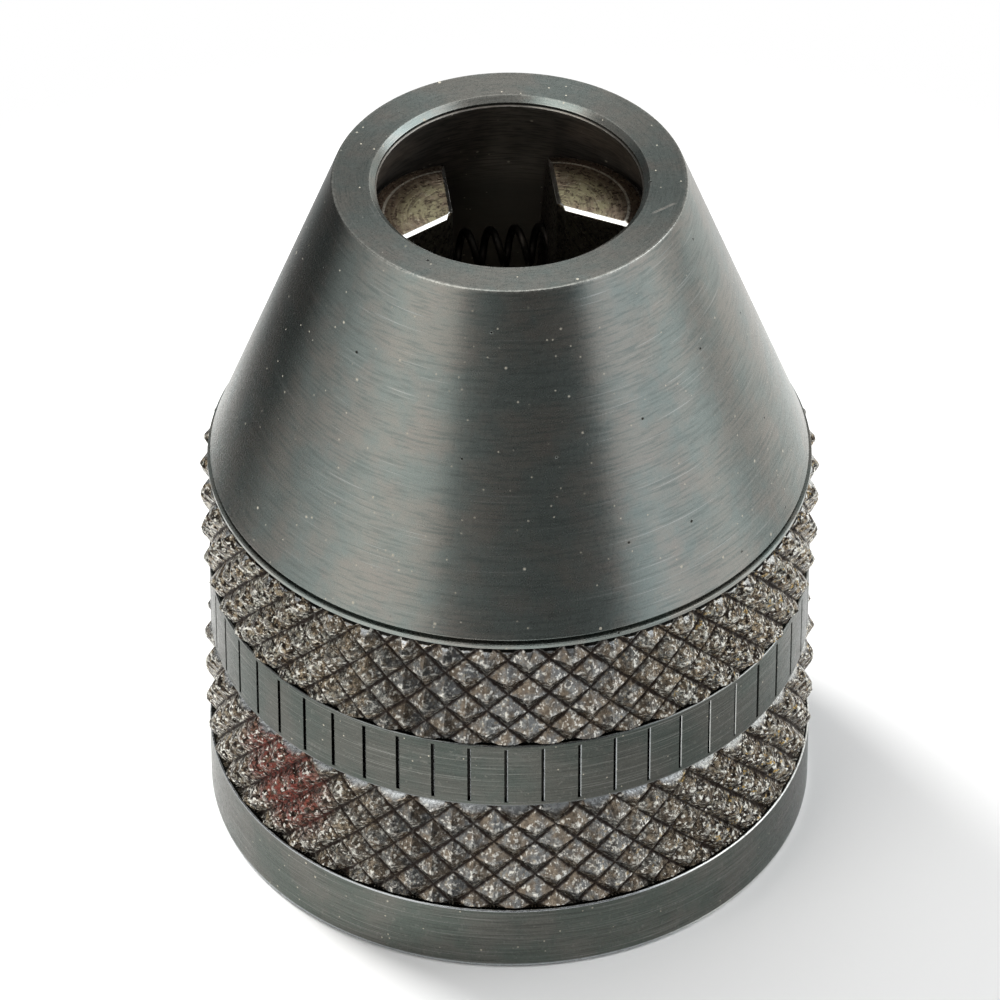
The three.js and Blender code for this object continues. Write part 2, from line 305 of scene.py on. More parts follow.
def with_rows_after(outline, corner, rows):
    """The outline with a thread's rows put in after a sharp (radius, z) corner."""
    at = next(i for i, point in enumerate(outline) if point[:2] == corner) + 1
    return outline[:at] + rows + outline[at:]


def apply(target, modifier):
    """Makes a modifier's result the target's own mesh."""
    bpy.context.view_layer.objects.active = target
    with bpy.context.temp_override(object=target, active_object=target):
        bpy.ops.object.modifier_apply(modifier=modifier.name)


def cut(target, tool):
    """Cuts the tool out of the target with the exact-edged manifold solver, and deletes the tool."""
    modifier = target.modifiers.new("cut", "BOOLEAN")
    modifier.operation = "DIFFERENCE"
    modifier.solver = "MANIFOLD"
    modifier.object = tool
    apply(target, modifier)
    bpy.data.objects.remove(tool)


def finish_edges(target, sharp_deg=SHARP_DEG):
    """Shades a cut mesh smooth again, apart from its sharp edges."""
    target.data.shade_smooth()
    target.data.set_sharp_from_angle(angle=math.radians(sharp_deg))
    return target


def place(piece, body, material, slot, *nodes):
    """Gives a piece its finish and its body, and hides the CAD nodes that it stands for."""
    piece.data.materials.clear()
    piece.data.materials.append(material)
    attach(piece, body)
    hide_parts(*nodes)


# ---- turned pieces ----


def nose_sleeve():
    """The cone, the mouth, the internal cone, the adjusting thread and the rear bore with its ring groove."""
    cone_end_z = inner_cone_z(RELIEF_RADIUS)
    thread_end_z = cone_end_z - RELIEF_LENGTH
    ring_low, ring_high = node_span("retaining_ring")
    ends = (thread_end_z - 0.1, REAR_BORE_DEPTH + 0.1)
    thread = thread_rows(*ends, ADJUSTING_PITCH, ADJUSTING_MINOR_RADIUS, ADJUSTING_ROOT_RADIUS)
    before = [
        (REAR_BORE_RADIUS, SLEEVE_REAR_Z, 0.1),
        (SEAT_RADIUS, SLEEVE_REAR_Z, 0.15),
        (SEAT_RADIUS, SHOULDER_Z, 0.05),
        (SHOULDER_RADIUS, SHOULDER_Z, 0.02, 0.0),
        (SHOULDER_RADIUS, CONE_BASE_Z - 0.11, 0.02, 0.0),
        *((JOINT_LINE_RADIUS, z, 0.0) for z in JOINT_LINE),
        (CONE_BASE_RADIUS - 0.01, CONE_BASE_Z - 0.01, 0.05, 0.0),
        (NOSE_RADIUS, NOSE_Z, 0.05),
        (MOUTH_RADIUS + MOUTH_CHAMFER, NOSE_Z, 0.02, 0.4),
        (MOUTH_RADIUS + 0.02, NOSE_Z - MOUTH_CHAMFER * 0.75, 0.02, 0.6),
        (MOUTH_RADIUS + 0.02, NOSE_Z - MOUTH_LAND + 0.09, 0.0),
        (MOUTH_RADIUS - 0.02, NOSE_Z - MOUTH_LAND + 0.06, 0.02),
        (MOUTH_RADIUS - 0.02, NOSE_Z - MOUTH_LAND, 0.02, 0.3),
        (RELIEF_RADIUS, cone_end_z, 0.1),
        (RELIEF_RADIUS, thread_end_z, 0.1),
        (ADJUSTING_MINOR_RADIUS, thread_end_z, 0.0),
    ]
    after = [
        (ADJUSTING_MINOR_RADIUS, REAR_BORE_DEPTH, 0.0),
        (REAR_BORE_RADIUS, REAR_BORE_DEPTH, 0.1),
        (REAR_BORE_RADIUS, ring_high + RING_GROOVE_CLEARANCE, 0.03),
        (RING_GROOVE_RADIUS, ring_high + RING_GROOVE_CLEARANCE, 0.05),
        (RING_GROOVE_RADIUS, ring_low - RING_GROOVE_CLEARANCE, 0.05),
        (REAR_BORE_RADIUS, ring_low - RING_GROOVE_CLEARANCE, 0.03),
    ]
    outline = with_rows_after(rounded(before + after), before[-1][:2], thread)
    return revolved("nose_sleeve_shell", outline)


def knurl_radius(u, v, tip):
    """The radius of a knurled surface at u and v, in diamond periods along the two families of grooves."""
    ridge_u = 1 - np.abs(2 * np.mod(u, 1.0) - 1)
    ridge_v = 1 - np.abs(2 * np.mod(v, 1.0) - 1)
    height = np.minimum(ridge_u, ridge_v)
    crowned = height * (1 + KNURL_CROWN - KNURL_CROWN * height)
    return tip - KNURL_DEPTH * (1 - crowned)


def knurl_negative(z_low, z_high, peak_deg, peak_z, seed):
    """The metal that a knurling tool moves away: a ring whose inner face is a field of diamond pyramids, one
    of them at angle peak_deg and height peak_z. Its quads are split along the grooves, for crisp edges."""
    columns = KNURL_STARTS * KNURL_STEPS
    row_height = KNURL_AXIAL_PERIOD / KNURL_STEPS
    first = math.floor((z_low - peak_z) / row_height)
    last = math.ceil((z_high - peak_z) / row_height)
    rows = np.arange(first, last + 1)
    half = KNURL_STEPS // 2
    i, j = np.meshgrid(np.arange(columns), rows)
    u, v = (i + j + half) / KNURL_STEPS, (i - j + half) / KNURL_STEPS
    radius = knurl_radius(u, v, KNURL_RADIUS)
    angle = math.radians(peak_deg) + i * 2 * np.pi / columns
    z = np.clip(peak_z + j * row_height, z_low, z_high)
    rough = np.zeros(radius.shape)
    for index in np.ndindex(radius.shape):
        a = angle[index]
        spot = Vector(polar(KNURL_RADIUS, a, z[index] + seed))
        bumps = sum(depth * noise.noise(spot * per_mm) for per_mm, depth in KNURL_ROUGHNESS)
        rough[index] = bumps * (KNURL_FRONT_WEAR + abs(math.cos(a)))
    radius = np.minimum(radius + rough, KNURL_RADIUS - KNURL_TIP_FLAT - np.abs(rough))
    inner = np.stack([radius * np.cos(angle), radius * np.sin(angle), z], axis=2).reshape(-1, 3)
    reach = KNURL_RADIUS + KNURL_CUTTER_REACH
    around = (reach * np.cos(angle[0]), reach * np.sin(angle[0]))
    rims = [np.stack([*around, np.full(columns, level)], axis=1) for level in (z[-1, 0], z[0, 0])]
    faces = []
    count = len(rows)
    for row in range(count - 1):
        for c in range(columns):
            d = (c + 1) % columns
            low_a, low_b = row * columns + c, row * columns + d
            high_a, high_b = low_a + columns, low_b + columns
            falling = (c + int(rows[row]) + half + 1) % KNURL_STEPS == 0
            if falling:
                faces += [(low_a, high_a, low_b), (low_b, high_a, high_b)]
            else:
                faces += [(low_a, high_a, high_b), (low_a, high_b, low_b)]
    loops = [(count - 1) * columns, count * columns, (count + 1) * columns, 0]
    for start, end in zip(loops, loops[1:]):
        faces += ring_quads(start, end, columns, flip=True)
    return make_object("knurl_cutter", np.concatenate([inner, *rims]), faces)


def band_groove_cutters():
    """Bars standing round the middle band, one for each of its short grooves."""
    low, high = MIDDLE_BAND[0] + BAND_GROOVE_MARGIN, MIDDLE_BAND[1] - BAND_GROOVE_MARGIN
    floor = MIDDLE_BAND_RADIUS - BAND_GROOVE_DEPTH
    proud = MIDDLE_BAND_RADIUS + BAND_FLANK_DEPTH  # mirrors the flank, so that it comes out at its edge
    half = BAND_GROOVE_WIDTH / 2
    slot = BAND_SLOT_WIDTH
    vertices, faces, wear_and_shade = [], [], []
    for k in range(BAND_GROOVES):
        angle = math.radians(FIRST_GROOVE_DEG) + 2 * math.pi * k / BAND_GROOVES
        turn = Matrix.Rotation(angle, 3, "Z")
        # Each flank is painted bright as a highlight, and dark as shade far round on the +X side.
        wear_and_painted_light = -1.0 if math.cos(angle) > BAND_SHADED_SIDE else 1.0
        # (radius, offset, wear and shade): a deep slot painted dark as shade, and beside it a shallow flank
        # painted bright as a highlight, or dark as shade far round on the +X side.
        corners = (
            (floor, -0.85 * half, -1.0),
            (proud, -half, -1.0),
            (proud, 3 * half - slot, wear_and_painted_light),
            (MIDDLE_BAND_RADIUS - BAND_FLANK_DEPTH, slot - half, wear_and_painted_light),
            (MIDDLE_BAND_RADIUS - BAND_FLANK_DEPTH - 0.01, slot - half - 0.002, -1.0),
            (floor, 0.8 * slot - half, -1.0),
        )
        count = len(corners)
        base = len(vertices)
        for z in (low, high):
            for radius, offset, worn_or_shaded in corners:
                vertices.append(tuple(turn @ Vector((radius, offset, z))))
                wear_and_shade.append(worn_or_shaded)
        faces.append(tuple(base + i for i in reversed(range(count))))
        faces.append(tuple(base + count + i for i in range(count)))
        faces += ring_quads(base, base + count, count)
    return make_object("groove_cutters", vertices, faces, wear_and_shade)


def knurled_band(low, high, land_radius):
    """Outline corners of a knurled band before it is cut, from the land behind it to its chamfer."""
    radial, axial = KNURL_END_CHAMFER
    return [
        # The land's corner is painted black as shade.
        (land_radius, low, 0.0, -1.0),
        (KNURL_RADIUS - radial, low + 0.01, 0.0),
        (KNURL_RADIUS, low + axial, 0.0),
        (KNURL_RADIUS, high - KNURL_CHAMFER, 0.0, 1.0),
    ]


def knurled_grip():
    """The grip ring: two knurled bands, the grooved band between them and the plain rear rim."""
    upper_low, upper_high = UPPER_KNURL
    lower_low, lower_high = LOWER_KNURL
    # A fourth value of -1 marks a corner painted black as shade.
    corners = [
        (GRIP_BORE_RADIUS, GRIP_REAR_Z, 0.12),
        (RIM_RADIUS, GRIP_REAR_Z, 0.12),
        (RIM_RADIUS, RIM_TOP_Z, 0.05),
        (LOWER_LAND_RADIUS, RIM_TOP_Z + 0.01, 0.0, -1.0),
        *knurled_band(lower_low, lower_high, LOWER_LAND_RADIUS),
        (NECK_RADIUS + 0.06, lower_high, 0.0, 1.0),
        (NECK_RADIUS, MIDDLE_BAND[0], 0.0),
        (MIDDLE_BAND_RADIUS, MIDDLE_BAND[0], 0.04, 0.4),
        (MIDDLE_BAND_RADIUS, MIDDLE_BAND[1], 0.05, 0.3),
        (UPPER_LAND_RADIUS, MIDDLE_BAND[1], 0.0, -1.0),
        *knurled_band(upper_low, upper_high, UPPER_LAND_RADIUS),
        (NECK_RADIUS + 0.14, upper_high - 0.09, 0.0, 1.0),  # a rubbed edge, painted brighter towards +X as a highlight, and then a dark line painted as shade under the sleeve's shoulder
        (NECK_RADIUS + 0.11, upper_high - 0.055, 0.0, -1.0),
        (NECK_RADIUS + 0.06, upper_high, 0.0, -1.0),
        (GRIP_BORE_RADIUS, upper_high, 0.05, -1.0),
    ]
    body = revolved("grip_ring", rounded(corners), KNURL_STARTS * KNURL_STEPS)
    for band, peak, seed in ((UPPER_KNURL, UPPER_PEAK, UPPER_SEED), (LOWER_KNURL, LOWER_PEAK, LOWER_SEED)):
        cut(body, knurl_negative(band[0], band[1] + CUT_MARGIN, *peak, seed))
    cut(body, band_groove_cutters())
    return finish_edges(body, KNURL_SHARP_DEG)


def core():
    """The threaded body inside the sleeve, with the spindle thread in its rear."""
    crest, spindle_crest = ADJUSTING_MALE_CREST, SPINDLE_CREST_RADIUS
    fade = 0.3
    ends = (CORE_SHOULDER_Z + 0.2, CORE_FRONT_Z - 0.5)
    outer_thread = thread_rows(*ends, ADJUSTING_PITCH, crest, ADJUSTING_MALE_ROOT, fade)
    ends = (SPINDLE_BORE_END_Z - 0.6, CORE_REAR_Z + 0.5)
    spindle_thread = thread_rows(*ends, SPINDLE_PITCH, spindle_crest, SPINDLE_ROOT_RADIUS, fade)
    outer_start = (crest - 0.05, CORE_SHOULDER_Z + 0.19)
    spindle_start = (spindle_crest + 0.05, SPINDLE_BORE_END_Z - 0.5)
    corners = [
        (SPINDLE_ROOT_RADIUS + 0.15, CORE_REAR_Z, 0.05),
        (HUB_RADIUS, CORE_REAR_Z, 0.2),
        (HUB_RADIUS, CORE_SHOULDER_Z, 0.1),
        (crest - 0.25, CORE_SHOULDER_Z, 0.05),
        (*outer_start, 0.0),
        (crest - 0.05, CORE_FRONT_Z - 0.49, 0.0),
        (crest - 0.6, CORE_FRONT_Z, 0.06),
        (SHANK_HOLE_RADIUS, CORE_FRONT_Z, 0.1),
        (SHANK_HOLE_RADIUS, SPINDLE_BORE_END_Z + 0.4, 0.05),
        (*spindle_start, 0.0),
        (spindle_crest + 0.05, CORE_REAR_Z + 0.49, 0.0),
    ]
    outline = with_rows_after(rounded(corners), outer_start, outer_thread)
    outline = with_rows_after(outline, spindle_start, spindle_thread)
    return revolved("core_body", outline, CORE_SEGMENTS)


def flat_ring_section(node, inner, outer):
    """The outline of a flat ring between two radii, as high as its CAD node, with rounded edges."""
    low, high = node_span(node)
    corners = ((inner, low), (outer, low), (outer, high), (inner, high))
    return rounded([(*corner, FLAT_RING_EDGE) for corner in corners])


def thrust_washer():
    """The hard flat washer that the jaws stand and slide on."""
    radius = node_radius("thrust_washer")
    return revolved("washer_disc", flat_ring_section("thrust_washer", SHANK_HOLE_RADIUS, radius))


def retaining_ring():
    """A snap ring, open over a small arc on the +Y side."""
    section = flat_ring_section("retaining_ring", RING_INNER_RADIUS, RING_OUTER_RADIUS)
    opening = math.radians(RING_OPENING_DEG)
    start, sweep = math.pi / 2 + opening / 2, 2 * math.pi - opening
    vertices, faces = [], []
    count = len(section)
    for k in range(RING_STEPS + 1):
        a = start + sweep * k / RING_STEPS
        vertices += [polar(r, a, z) for r, z, _ in section]
    for k in range(RING_STEPS):
        faces += ring_quads(k * count, (k + 1) * count, count, flip=True)
    faces.append(tuple(range(count)))
    faces.append(tuple(reversed(range(RING_STEPS * count, len(vertices)))))
    return make_object("snap_ring", vertices, faces)


# ---- jaws and springs ----


def sector_outline(radius, inset, arc_steps=40, side_steps=6):
    """One jaw's section about +X in its own frame: blunt tip, two side faces and an arc of a radius."""
    slope = math.tan(HALF_ANGLE)
    shift = (JAW_HALF_GAP_CLOSED + inset) / math.cos(HALF_ANGLE)
    tip = JAW_TIP_DISTANCE + 0.35 * inset
    # Where the side face y = slope * x - shift meets the circle.
    a, b, c = 1 + slope**2, -2 * slope * shift, shift**2 - radius**2
    x = (-b + math.sqrt(b * b - 4 * a * c)) / (2 * a)
    y = slope * x - shift
    reach = math.atan2(y, x)
    arc = [polar(radius, reach * (2 * k / arc_steps - 1))[:2] for k in range(arc_steps + 1)]
    tip_y = slope * tip - shift
    shares = [k / side_steps for k in range(side_steps)]
    side = [(tip + (x - tip) * t, tip_y + (y - tip_y) * t) for t in shares]
    return [(across, -up) for across, up in side] + arc + side[::-1]


def jaw_levels():
    """(z, radius, inset) sections of a jaw from its rear to its nose, in its own frame."""
    own_radius_at_nose = MOUTH_RADIUS - CONE_SLOPE * MOUTH_LAND - JAW_CONE_CLEARANCE - JAW_TRAVEL
    body_radius = JAW_BODY_RADIUS - JAW_TRAVEL

    def cone_z(radius):
        return NOSE_Z - (radius - own_radius_at_nose) / CONE_SLOPE

    knee = 0.55  # how far down the nose's rounded shoulder the narrow turned ring starts
    ring_z = JAW_TIP_Z - JAW_RING_DROP
    return [
        (JAW_REAR_Z, body_radius - 0.15, 0.1),
        (JAW_REAR_Z + 0.15, body_radius, 0.0),
        (cone_z(body_radius), body_radius, 0.0),
        (cone_z(JAW_CONE_START), JAW_CONE_START, 0.0),
        (ring_z - (ring_z - cone_z(JAW_CONE_START)) * knee, JAW_RING_RADIUS + 0.24, 0.0),
        (JAW_TIP_Z - JAW_EDGE_CHAMFER, JAW_RING_RADIUS + 0.04, 0.0),
        (JAW_TIP_Z - 0.75 * JAW_RING_DROP, JAW_RING_RADIUS - 0.06, JAW_EDGE_CHAMFER - 0.75 * JAW_RING_DROP),
        (JAW_TIP_Z, JAW_FACE_RADIUS, JAW_EDGE_CHAMFER),
    ]


def jaw_mesh(name):
    """A jaw lofted through its sections, with softened edges and a spring pocket in each side face."""
    levels = jaw_levels()
    rings = [[(x, y, z) for x, y in sector_outline(radius, inset)] for z, radius, inset in levels]
    count = len(rings[0])
    faces = [tuple(reversed(range(count)))]
    for level in range(len(rings) - 1):
        faces += ring_quads(level * count, (level + 1) * count, count)
    faces.append(tuple(range((len(rings) - 1) * count, len(rings) * count)))
    made = make_object(name, sum(rings, []), faces)
    bevel = made.modifiers.new("edges", "BEVEL")
    bevel.width = JAW_EDGE_ROUND * MM
    bevel.segments = 2
    bevel.limit_method = "ANGLE"
    bevel.angle_limit = math.radians(BEVEL_DEG)
    apply(made, bevel)
    for side in (1, -1):
        cut(made, pocket_cutter(side))
    return finish_edges(made)


def pocket_cutter(side):
    """A round bar with a domed end that cuts the blind pocket in the side face at +60 or -60 degrees."""
    profile = [(POCKET_RADIUS + 0.1, -0.4), (POCKET_RADIUS + 0.1, -0.05), (POCKET_RADIUS, 0.05)]
    profile += [(POCKET_RADIUS, POCKET_DEPTH), (POCKET_RADIUS * 0.5, POCKET_DEPTH + 0.12)]
    segments = POCKET_SEGMENTS
    turn = Matrix.Rotation(side * HALF_ANGLE, 3, "Z")
    vertices = []
    for radius, depth in profile:
        for k in range(segments):
            a = 2 * math.pi * k / segments
            across = -side * (JAW_HALF_GAP_CLOSED + depth)
            point = Vector((POCKET_DISTANCE + radius * math.cos(a), across, radius * math.sin(a)))
            vertices.append(tuple(turn @ point + Vector((0, 0, SPRING_Z))))
    faces = [tuple(range(segments)), tuple(reversed(range((len(profile) - 1) * segments, len(vertices))))]
    for row in range(len(profile) - 1):
        faces += ring_quads(row * segments, (row + 1) * segments, segments, flip=True)
    if side < 0:
        faces = [tuple(reversed(face)) for face in faces]
    return make_object("pocket_cutter", vertices, faces)


def jaw_spring(name):
    """A compression spring along X with closed ends, swept as a round wire."""
    half = HALF_GAP_OPEN + POCKET_DEPTH - SPRING_END_GAP - SPRING_WIRE_RADIUS
    turns = SPRING_ACTIVE_TURNS + 2 * SPRING_END_TURNS
    closed_rise = 2.1 * SPRING_WIRE_RADIUS  # one end turn lies on the next
    active_pitch = (2 * half - 2 * SPRING_END_TURNS * closed_rise) / SPRING_ACTIVE_TURNS
    steps, sides = int(turns * SPRING_STEPS), SPRING_SIDES
    points = []
    for k in range(steps + 1):
        t = turns * k / steps
        ends = min(t, SPRING_END_TURNS) + max(0.0, t - SPRING_END_TURNS - SPRING_ACTIVE_TURNS)
        active = min(max(t - SPRING_END_TURNS, 0.0), SPRING_ACTIVE_TURNS)
        a = 2 * math.pi * t
        along = -half + ends * closed_rise + active * active_pitch
        points.append(Vector((along, *polar(SPRING_COIL_RADIUS, a)[:2])))
    vertices, faces = [], []
    for k, point in enumerate(points):
        ahead = points[min(k + 1, steps)] - points[max(k - 1, 0)]
        outward = Vector((0, point.y, point.z)).normalized()
        across = ahead.normalized().cross(outward).normalized()
        for s in range(sides):
            b = 2 * math.pi * s / sides
            arm = outward * math.cos(b) + across * math.sin(b)
            vertices.append(tuple(point + arm * SPRING_WIRE_RADIUS))
    for k in range(steps):
        faces += ring_quads(k * sides, (k + 1) * sides, sides)
    faces.append(tuple(reversed(range(sides))))
    faces.append(tuple(range(steps * sides, len(vertices))))
    return make_object(name, vertices, faces, sharp_deg=SPRING_SHARP_DEG)


# ---- finishes ----

TWO_TINTS = (0.38, 0.62)  # the noise between which one tint of a surface turns into the other
FINE_FEED = 0.035  # the spacing of the fine turning marks
FACE_LEAN = 1.3  # how closely the turning marks lie across a flat face, against a cylinder
LATHE_SEED = (31.7, 17.3)
DUST_COLOUR = (0.62, 0.57, 0.46)
INNER_WALL = 1.0  # the surfaces this far inside the cone's outside are its inner ones
PAINTED_LIGHT_SIDES = (0.25, 0.75)  # shares of the knurl's radius along X between which its sides are painted lighter, with more dark specks as painted shade and more glints as painted highlights
SMEAR_DEG = -139.0  # the reddish smear on the lower knurl
SMEAR_Z = 5.2
SMEAR_REACH = 2.6
NICK_PLACE = (4.82, -1.43)  # the bright nick in the nose face
NICK_DEG = 36.0
NICK_LENGTH = 1.1
NICK_WIDTH = 0.12


class Nodes:
    """Short calls for building the node tree of a material or of the world."""

    def __init__(self, owner):
        owner.use_nodes = True
        self.owner = owner
        self.tree = owner.node_tree

    def add(self, kind, *values, **settings):
        """A new node with its settings, and with its first inputs fed in order."""
        node = self.tree.nodes.new(kind)
        for key, value in settings.items():
            setattr(node, key, value)
        for socket, value in zip(node.inputs, values):
            self.link(value, socket)
        return node

    def link(self, value, socket):
        """Feeds another node's output, a number, a vector or a colour to a socket."""
        if hasattr(value, "is_output"):
            self.tree.links.new(value, socket)
        elif socket.type == "RGBA":
            socket.default_value = (*value, 1)
        else:
            socket.default_value = value

    def math(self, operation, a, b=0.0, c=0.0, clamp=False):
        return self.add("ShaderNodeMath", a, b, c, operation=operation, use_clamp=clamp).outputs[0]

    def plus(self, a, b, clamp=False):
        return self.math("ADD", a, b, clamp=clamp)

    def minus(self, a, b):
        return self.math("SUBTRACT", a, b)

    def times(self, a, b):
        return self.math("MULTIPLY", a, b)

    def size(self, a):
        return self.math("ABSOLUTE", a)

    def step(self, value, low, high, to_low=0.0, to_high=1.0):
        """Value mapped smoothly from low..high to to_low..to_high."""
        ranges = (low, high, to_low, to_high)
        return self.add("ShaderNodeMapRange", value, *ranges, interpolation_type="SMOOTHSTEP").outputs[0]

    def mix(self, factor, a, b):
        node = self.add("ShaderNodeMix", factor, data_type="RGBA")
        self.link(a, node.inputs[6])
        self.link(b, node.inputs[7])
        return node.outputs[2]

    def combine(self, x, y, z):
        return self.add("ShaderNodeCombineXYZ", x, y, z).outputs[0]

    def split(self, vector):
        return self.add("ShaderNodeSeparateXYZ", vector).outputs

    def between(self, operation, a, b):
        """The number that a vector operation makes of two vectors."""
        return self.add("ShaderNodeVectorMath", a, b, operation=operation).outputs["Value"]


class Finish(Nodes):
    """A material's nodes, with the point in millimetres in the piece's frame, and its distance from Z."""

    def __init__(self, name):
        super().__init__(bpy.data.materials.new(name))
        self.shader = self.tree.nodes["Principled BSDF"]
        in_metres = self.add("ShaderNodeTexCoord").outputs["Object"]
        in_mm = self.add("ShaderNodeVectorMath", in_metres, operation="SCALE")
        self.link(1 / MM, in_mm.inputs["Scale"])
        self.point = in_mm.outputs[0]
        self.x, self.y, self.z = self.split(self.point)
        self.radius = self.math("SQRT", self.plus(self.times(self.x, self.x), self.times(self.y, self.y)))

    def set(self, socket, value):
        self.link(value, self.shader.inputs[socket])

    def surface(self, colour, metallic, roughness):
        self.set("Base Color", colour)
        self.set("Metallic", metallic)
        self.set("Roughness", roughness)

    def noise(self, scale, detail=2.0, roughness=0.5, vector=None):
        node = self.add("ShaderNodeTexNoise")
        self.link(self.point if vector is None else vector, node.inputs["Vector"])
        self.link(scale, node.inputs["Scale"])
        self.link(detail, node.inputs["Detail"])
        self.link(roughness, node.inputs["Roughness"])
        return node.outputs["Fac"]

    def lathe_lines(self, spacing, stretch, detail=2.0):
        """Noise drawn out round the axis into turning marks about spacing apart."""
        along = self.math("DIVIDE", self.plus(self.z, self.times(self.radius, FACE_LEAN)), spacing)
        east, north = (
            self.math("MULTIPLY_ADD", self.math("DIVIDE", side, self.radius), stretch, seed)
            for side, seed in zip((self.x, self.y), LATHE_SEED)
        )
        return self.noise(1.0, detail, 0.6, self.combine(east, north, along))

    def specks(self, scale, size, vector=None):
        """1 inside small round specks scattered scale to a millimetre, 0 elsewhere."""
        node = self.add("ShaderNodeTexVoronoi", feature="F1")
        self.link(self.point if vector is None else vector, node.inputs["Vector"])
        self.link(scale, node.inputs["Scale"])
        return self.step(node.outputs["Distance"], size, size * 0.5)

    def streak(self, place, degrees, length, width):
        """1 inside one straight streak of a length and a width across the XY plane, 0 elsewhere."""
        cos, sin = math.cos(math.radians(degrees)), math.sin(math.radians(degrees))
        east, north = self.minus(self.x, place[0]), self.minus(self.y, place[1])
        along = self.math("MULTIPLY_ADD", east, cos, self.times(north, sin))
        across = self.math("MULTIPLY_ADD", north, cos, self.times(east, -sin))
        in_length = self.step(self.size(along), length / 2, length / 4)
        in_width = self.step(self.size(across), width / 2, width / 4)
        return self.times(in_length, in_width)

    def edge_wear_and_shade(self):
        """What make_object wrote on the mesh: 1 on a rubbed edge and -1 in a corner painted dark as shade."""
        return self.add("ShaderNodeAttribute", attribute_name="edge").outputs["Fac"]

    def bump(self, height, millimetres):
        node = self.add("ShaderNodeBump")
        self.link(1.0, node.inputs["Strength"])
        self.link(millimetres * MM, node.inputs["Distance"])
        self.link(height, node.inputs["Height"])
        self.set("Normal", node.outputs[0])

    def turned_about_z(self, anisotropy):
        """Reflections drawn out across the turning marks."""
        tangent = self.add("ShaderNodeTangent", direction_type="RADIAL", axis="Z")
        self.set("Tangent", tangent.outputs[0])
        self.set("Anisotropic", anisotropy)
        self.set("Anisotropic Rotation", 0.25)


def scaled(values, factor):
    return tuple(factor * value for value in values)


def with_oily_coat_and_shade(n, colour, fine):
    """The colour with a brown, oily coat on the inner surfaces, painted darker far in as shade, and where
    that coat is.
    """
    wall = n.math("MULTIPLY_ADD", n.z, -CONE_SLOPE, NOSE_RADIUS - INNER_WALL + CONE_SLOPE * NOSE_Z)
    inner = n.times(n.step(n.minus(wall, n.radius), 0.0, 0.1), n.step(n.z, NOSE_Z - 0.2, NOSE_Z - 0.3))
    brown = n.mix(n.step(fine, 0.38, 0.6), (0.14, 0.118, 0.1), (0.29, 0.25, 0.215))
    # Painted shade, darker deeper in the mouth.
    brown = n.mix(n.step(n.z, NOSE_Z - 2.6, NOSE_Z - 5.0), brown, (0.075, 0.065, 0.055))
    return n.mix(n.times(inner, 0.85), colour, brown), inner


def nose_nick(n, grain):
    """1 inside the nick in the nose face, broken up by the grain."""
    on_face = n.step(n.z, NOSE_Z - 0.1, NOSE_Z - 0.05)
    nick = n.times(n.streak(NICK_PLACE, NICK_DEG, NICK_LENGTH, NICK_WIDTH), on_face)
    return n.times(nick, n.step(grain, 0.4, 0.5, 0.3, 0.9))


def blackened_steel(name, base, patina, roughness):
    """Turned steel under a thin black oxide, with a cloudy patina, wear, scratches, pits and dust."""
    n = Finish(name)
    fine = n.lathe_lines(FINE_FEED, 7.0, 3.0)
    scratch = n.lathe_lines(0.02, 2.2, 1.0)
    grain = n.noise(11.0, 4.0, 0.7)
    darker, lighter = scaled(base, 0.7), scaled(patina, 1.3)
    warmer = (patina[0] * 1.08, patina[1] * 0.97, patina[2] * 0.97)
    colour = n.mix(n.step(n.noise(0.5, 5.0, 0.6), *TWO_TINTS), base, patina)
    colour = n.mix(n.step(n.noise(0.9, 3.0, 0.6), 0.5, 0.7, 0.0, 0.35), colour, warmer)
    colour = n.mix(n.step(fine, 0.54, 0.34, 0.0, 0.65), colour, darker)
    colour = n.mix(n.step(grain, 0.55, 0.75, 0.0, 0.5), colour, lighter)
    colour = n.mix(n.step(grain, 0.42, 0.28, 0.0, 0.45), colour, darker)
    colour = n.mix(n.step(scratch, 0.66, 0.76, 0.0, 0.5), colour, (0.55, 0.56, 0.54))
    colour, inner = with_oily_coat_and_shade(n, colour, fine)
    wear_and_painted_light = n.times(n.edge_wear_and_shade(), n.step(grain, 0.42, 0.6, 0.1, 0.75))
    colour = n.mix(wear_and_painted_light, colour, (0.5, 0.5, 0.46))
    colour = n.mix(nose_nick(n, grain), colour, (0.62, 0.6, 0.55))
    dust = n.plus(n.specks(1.1, 0.07), n.specks(2.3, 0.085), clamp=True)
    colour = n.mix(n.times(dust, 0.75), colour, DUST_COLOUR)
    pits = n.specks(0.8, 0.045, n.combine(n.y, n.z, n.x))
    colour = n.mix(pits, colour, (0.02, 0.018, 0.015))
    rough = n.plus(n.plus(roughness - 0.1, n.times(grain, 0.16)), n.times(inner, 0.1))
    n.surface(colour, n.minus(1.0, n.times(dust, 0.8)), rough)
    marks = n.plus(n.times(fine, 0.6), n.times(grain, 0.4))
    n.bump(n.plus(marks, n.times(pits, -6.0)), 0.004)
    n.turned_about_z(0.6)
    return n.owner


